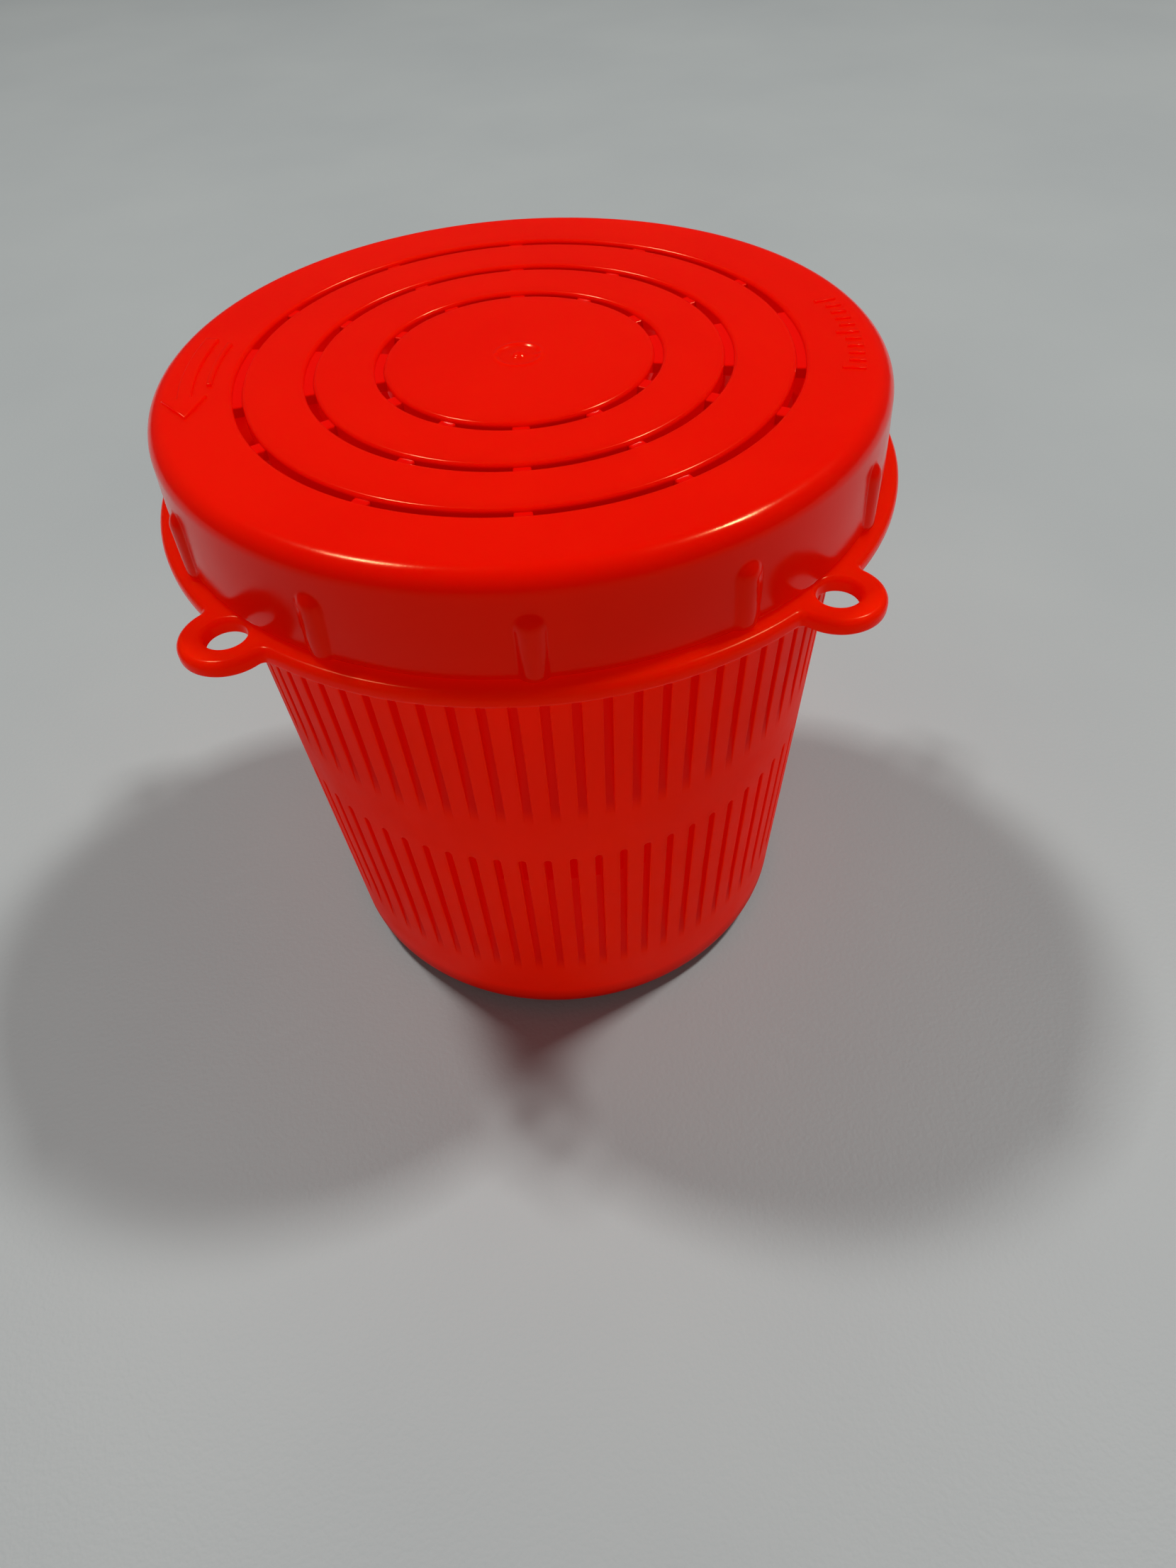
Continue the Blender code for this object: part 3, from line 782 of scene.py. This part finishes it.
def lid_shell():
    shell = Shell()
    columns = lid_columns()
    state = columns[:, 5]

    def angles(r):
        one = columns[:, 0] + np.degrees(np.arcsin(columns[:, 1] / r))
        two = columns[:, 2] + np.degrees(np.arcsin(columns[:, 3] / r))
        return one + (two - one) * columns[:, 4]

    def row(r, z):
        r = np.broadcast_to(np.asarray(r, float), state.shape)
        return at(r, angles(r), z)

    through = state > 1.9
    shut = ~(through & np.roll(through, -1))  # intervals from each column to the next
    floor = np.where(through, LID_UNDER, LID_TOP - BRIDGE_DEPTH - np.where(through, 0, state))

    rows, floors = [row(18.6, LID_TOP)], []
    for g in GROOVES:
        for across, down in ROUND:
            rows.append(
                row(g - GROOVE_HALF - GROOVE_EDGE * across, LID_TOP - GROOVE_EDGE * down)
            )
        floors.append(len(rows))
        rows += [row(g - GROOVE_HALF + 0.03, floor), row(g, floor), row(g + GROOVE_HALF - 0.03, floor)]
        for across, down in ROUND[::-1]:
            rows.append(
                row(g + GROOVE_HALF + GROOVE_EDGE * across, LID_TOP - GROOVE_EDGE * down)
            )
    rows.append(row(51.6, LID_TOP))
    for r, z in curve_arc(LID_R - LID_ROUND, LID_TOP - LID_ROUND, LID_ROUND, 90, 0, 14):
        rows.append(row(r, z))

    # skirt with its grip ribs
    away = np.full(len(columns), 99.0)
    for k in range(13):
        base = LID_TURN + 30.0 * k
        away = np.minimum(away, np.abs(np.radians(angles(55.8) - base)) * 55.8)

    def skirt(z, inset=0.0):
        plain = LID_R + LID_FLARE * np.clip((LID_TOP - LID_ROUND - z) / 12.0, 0, 1)
        lift = max(0.0, z - (RIB_TOP - RIB_SECTION))
        section = RIB_SECTION**2 - away**2 - lift**2
        rib = np.where(section > 0, RIB_R + np.sqrt(np.maximum(section, 0)), 0.0)
        soft = 0.12
        gap = np.clip((rib - plain) / soft, -60, 60)
        r = plain + soft * np.log1p(np.exp(gap)) * (gap > -8)
        return row(r - inset, z)

    for z in (108.4, 107.4, 107.0, 106.8, 106.6, 106.4, 106.2, 105.95, 105.65, 105.3, 104.9,
              104.5, 103.6, 101.0, 99.0, 97.6):
        rows.append(skirt(z))
    for inset, z in ((0.0, 97.3), (0.05, 97.08), (0.16, 96.88), (0.33, 96.76), (0.55, 96.7)):
        rows.append(skirt(z, inset))
    top = np.stack(rows)
    keep = np.ones((len(rows) - 1, len(columns)), bool)
    for first in floors:
        keep[first : first + 2, :] = shut
    shell.grid(top, keep, wrap=True)

    # lip, inside of the skirt with its thread, and the underside
    rows = [top[-1], row(54.4, 96.7), row(53.8, 96.7), row(53.55, 96.78), row(53.42, 96.95)]
    turns = angles(53.4)
    run = np.radians((turns - 90.0) % 360.0)
    for z in np.concatenate([[97.15], np.arange(97.6, 104.9, 0.5), [105.6, 107.4]]):
        bump = np.zeros(len(columns))
        for lap in range(2):
            angle = run + 2 * math.pi * lap
            centre = 98.0 + 4.0 * angle / (2 * math.pi)
            ends = np.clip(np.minimum(angle, 2.5 * math.pi - angle) / 0.35, 0, 1)
            near = np.clip(1 - abs(z - centre) / 1.05, 0, 1)
            bump = np.maximum(bump, np.minimum(1.0, 1.7 * near) ** 1.2 * ends)
        rows.append(row(53.4 - 0.7 * bump, z))
    rows += [row(53.4, 108.5), row(53.1, 109.2), row(52.7, 109.9), row(52.2, LID_UNDER)]
    floors = []
    for g in GROOVES[::-1]:
        floors.append(len(rows))
        rows += [row(g + GROOVE_HALF - 0.03, LID_UNDER), row(g, LID_UNDER), row(g - GROOVE_HALF + 0.03, LID_UNDER)]
    rows.append(row(18.6, LID_UNDER))
    keep = np.ones((len(rows) - 1, len(columns)), bool)
    for first in floors:
        keep[first : first + 2, :] = shut
    shell.grid(np.stack(rows), keep, wrap=True)

    # middle: moulding gate on top, plain underneath
    shell.zip(row(18.6, LID_TOP), ring(17.6, LID_TOP, 120))
    middle = [(17.6, 0.0), (10.0, 0.0), (4.5, 0.0), (4.1, 0.01), (3.9, 0.05), (3.7, 0.11),
              (3.5, 0.11), (3.3, 0.04), (3.1, -0.10), (2.95, -0.17), (2.75, -0.19), (2.2, -0.18),
              (1.5, -0.16), (1.15, -0.13), (0.95, -0.02), (0.8, 0.12), (0.6, 0.2), (0.3, 0.22)]
    gate = np.stack([ring(r, LID_TOP + z, 120) for r, z in middle])
    for x, y, wide, high in ((2.9, -0.3, 0.5, 0.16), (-3.3, 0.5, 0.35, 0.10), (0.25, 0.2, 0.3, 0.06)):
        away = (gate[..., 0] - x) ** 2 + (gate[..., 1] - y) ** 2
        gate[..., 2] += high * np.exp(-away / wide**2) * (np.array(middle)[:, :1] < 4.2)
    shell.grid(gate, wrap=True)
    shell.fan(gate[-1], gate[-1].mean(0))
    shell.zip(row(18.6, LID_UNDER), ring(17.6, LID_UNDER, 120))
    lathe(shell, [(17.6, LID_UNDER), (8.0, LID_UNDER)], 120)
    shell.fan(ring(8.0, LID_UNDER, 120), (0, 0, LID_UNDER))
    return shell.build("lid_shell")


# ---- marks on the lid: a generic turn arrow and a row of ticks -------------------------
def raised(name, outlines, height, soft):
    """Low raised shapes on the lid's top, from outlines in millimetres, as one closed mesh."""
    curve = bpy.data.curves.new(name, "CURVE")
    curve.dimensions = "2D"
    curve.fill_mode = "BOTH"
    curve.extrude = (height - soft) * MM
    curve.bevel_depth = soft * MM
    curve.bevel_resolution = 2
    curve.offset = -soft * MM
    for outline in outlines:
        spline = curve.splines.new("POLY")
        spline.points.add(len(outline) - 1)
        for point, (x, y) in zip(spline.points, outline):
            point.co = (x * MM, y * MM, 0.0, 1.0)
        spline.use_cyclic_u = True
    drawn = bpy.data.objects.new(name + "_outline", curve)
    scene.collection.objects.link(drawn)
    bpy.context.view_layer.update()
    graph = bpy.context.evaluated_depsgraph_get()
    mesh = bpy.data.meshes.new_from_object(drawn.evaluated_get(graph))
    mesh.name = name
    bpy.data.objects.remove(drawn, do_unlink=True)
    work = bmesh.new()
    work.from_mesh(mesh)
    bmesh.ops.remove_doubles(work, verts=work.verts, dist=1e-6)
    bmesh.ops.translate(work, verts=work.verts, vec=(0, 0, (LID_TOP - 0.01) * MM))
    bmesh.ops.recalc_face_normals(work, faces=work.faces)
    work.to_mesh(mesh)
    work.free()
    mesh.materials.clear()
    return mesh


def flat_at(radius, azimuth):
    turn = math.radians(azimuth)
    return (radius * math.sin(turn), -radius * math.cos(turn))


def turn_arrow():
    """A curved arrow for the turn that closes the lid, with a short inner line beside it."""
    middle, half, head = 49.6, 1.05, 3.3
    start, neck, tip = -103.5, -81.5, -74.5
    turns = np.linspace(start, neck, 30)
    outer = [flat_at(middle + half, t) for t in turns]
    inner = [flat_at(middle - half, t) for t in turns[::-1]]
    arrow = outer + [flat_at(middle + head, neck), flat_at(middle, tip)]
    arrow += [flat_at(middle - head, neck)] + inner
    turns = np.linspace(-102.0, -85.5, 24)
    line = [flat_at(46.6, t) for t in turns] + [flat_at(45.8, t) for t in turns[::-1]]
    return [arrow, line]


def tick_row():
    ticks = []
    for n in range(11):
        middle = 77.0 + 2.6 * n
        long = n % 5 == 0
        low, high = (47.9, 51.3) if long else (48.9, 51.3)
        wide = 0.42 if long else 0.33
        points = []
        for r, side in ((low, -1), (high, -1), (high, 1), (low, 1)):
            points.append(flat_at(r, middle + side * math.degrees(wide / r)))
        ticks.append(points)
    return ticks


# ---- pieces -----------------------------------------------------------------------------
def piece(mesh, name, body, material, sharp=38.0):
    obj = bpy.data.objects.new(name, mesh)
    scene.collection.objects.link(obj)
    mesh.materials.append(material)
    mesh.shade_smooth()
    mesh.set_sharp_from_angle(angle=math.radians(sharp))
    weigh = obj.modifiers.new("weigh", "WEIGHTED_NORMAL")
    weigh.keep_sharp = True
    weigh.mode = "FACE_AREA_WITH_ANGLE"
    weigh.weight = 60
    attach(obj, body)
    return obj


def joined(mesh, others):
    """The mesh with the other closed meshes moulded into it."""
    scratch = bpy.data.objects.new("scratch", mesh)
    scene.collection.objects.link(scratch)
    helpers = []
    for other in others:
        helper = bpy.data.objects.new("helper", other)
        scene.collection.objects.link(helper)
        helpers.append(helper)
        union = scratch.modifiers.new("union", "BOOLEAN")
        union.operation = "UNION"
        union.solver = "EXACT"
        union.object = helper
    bpy.context.view_layer.update()
    graph = bpy.context.evaluated_depsgraph_get()
    made = bpy.data.meshes.new_from_object(scratch.evaluated_get(graph))
    for obj in helpers + [scratch]:
        bpy.data.objects.remove(obj, do_unlink=True)
    made.materials.clear()
    return made


pot = piece(pot_shell(), "pot_shell", "pot", POT_PLASTIC)
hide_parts("pot_body")
marks = [raised("turn_arrow", turn_arrow(), 0.46, 0.22), raised("tick_row", tick_row(), 0.30, 0.14)]
lid = piece(joined(lid_shell(), marks), "lid_shell", "lid", LID_PLASTIC)
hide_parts("twist_lid")

# a CAD node that is stood for still carries the same plastic
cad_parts["pot_body"].data.materials.clear()
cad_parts["pot_body"].data.materials.append(POT_PLASTIC)
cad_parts["twist_lid"].data.materials.clear()
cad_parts["twist_lid"].data.materials.append(LID_PLASTIC)
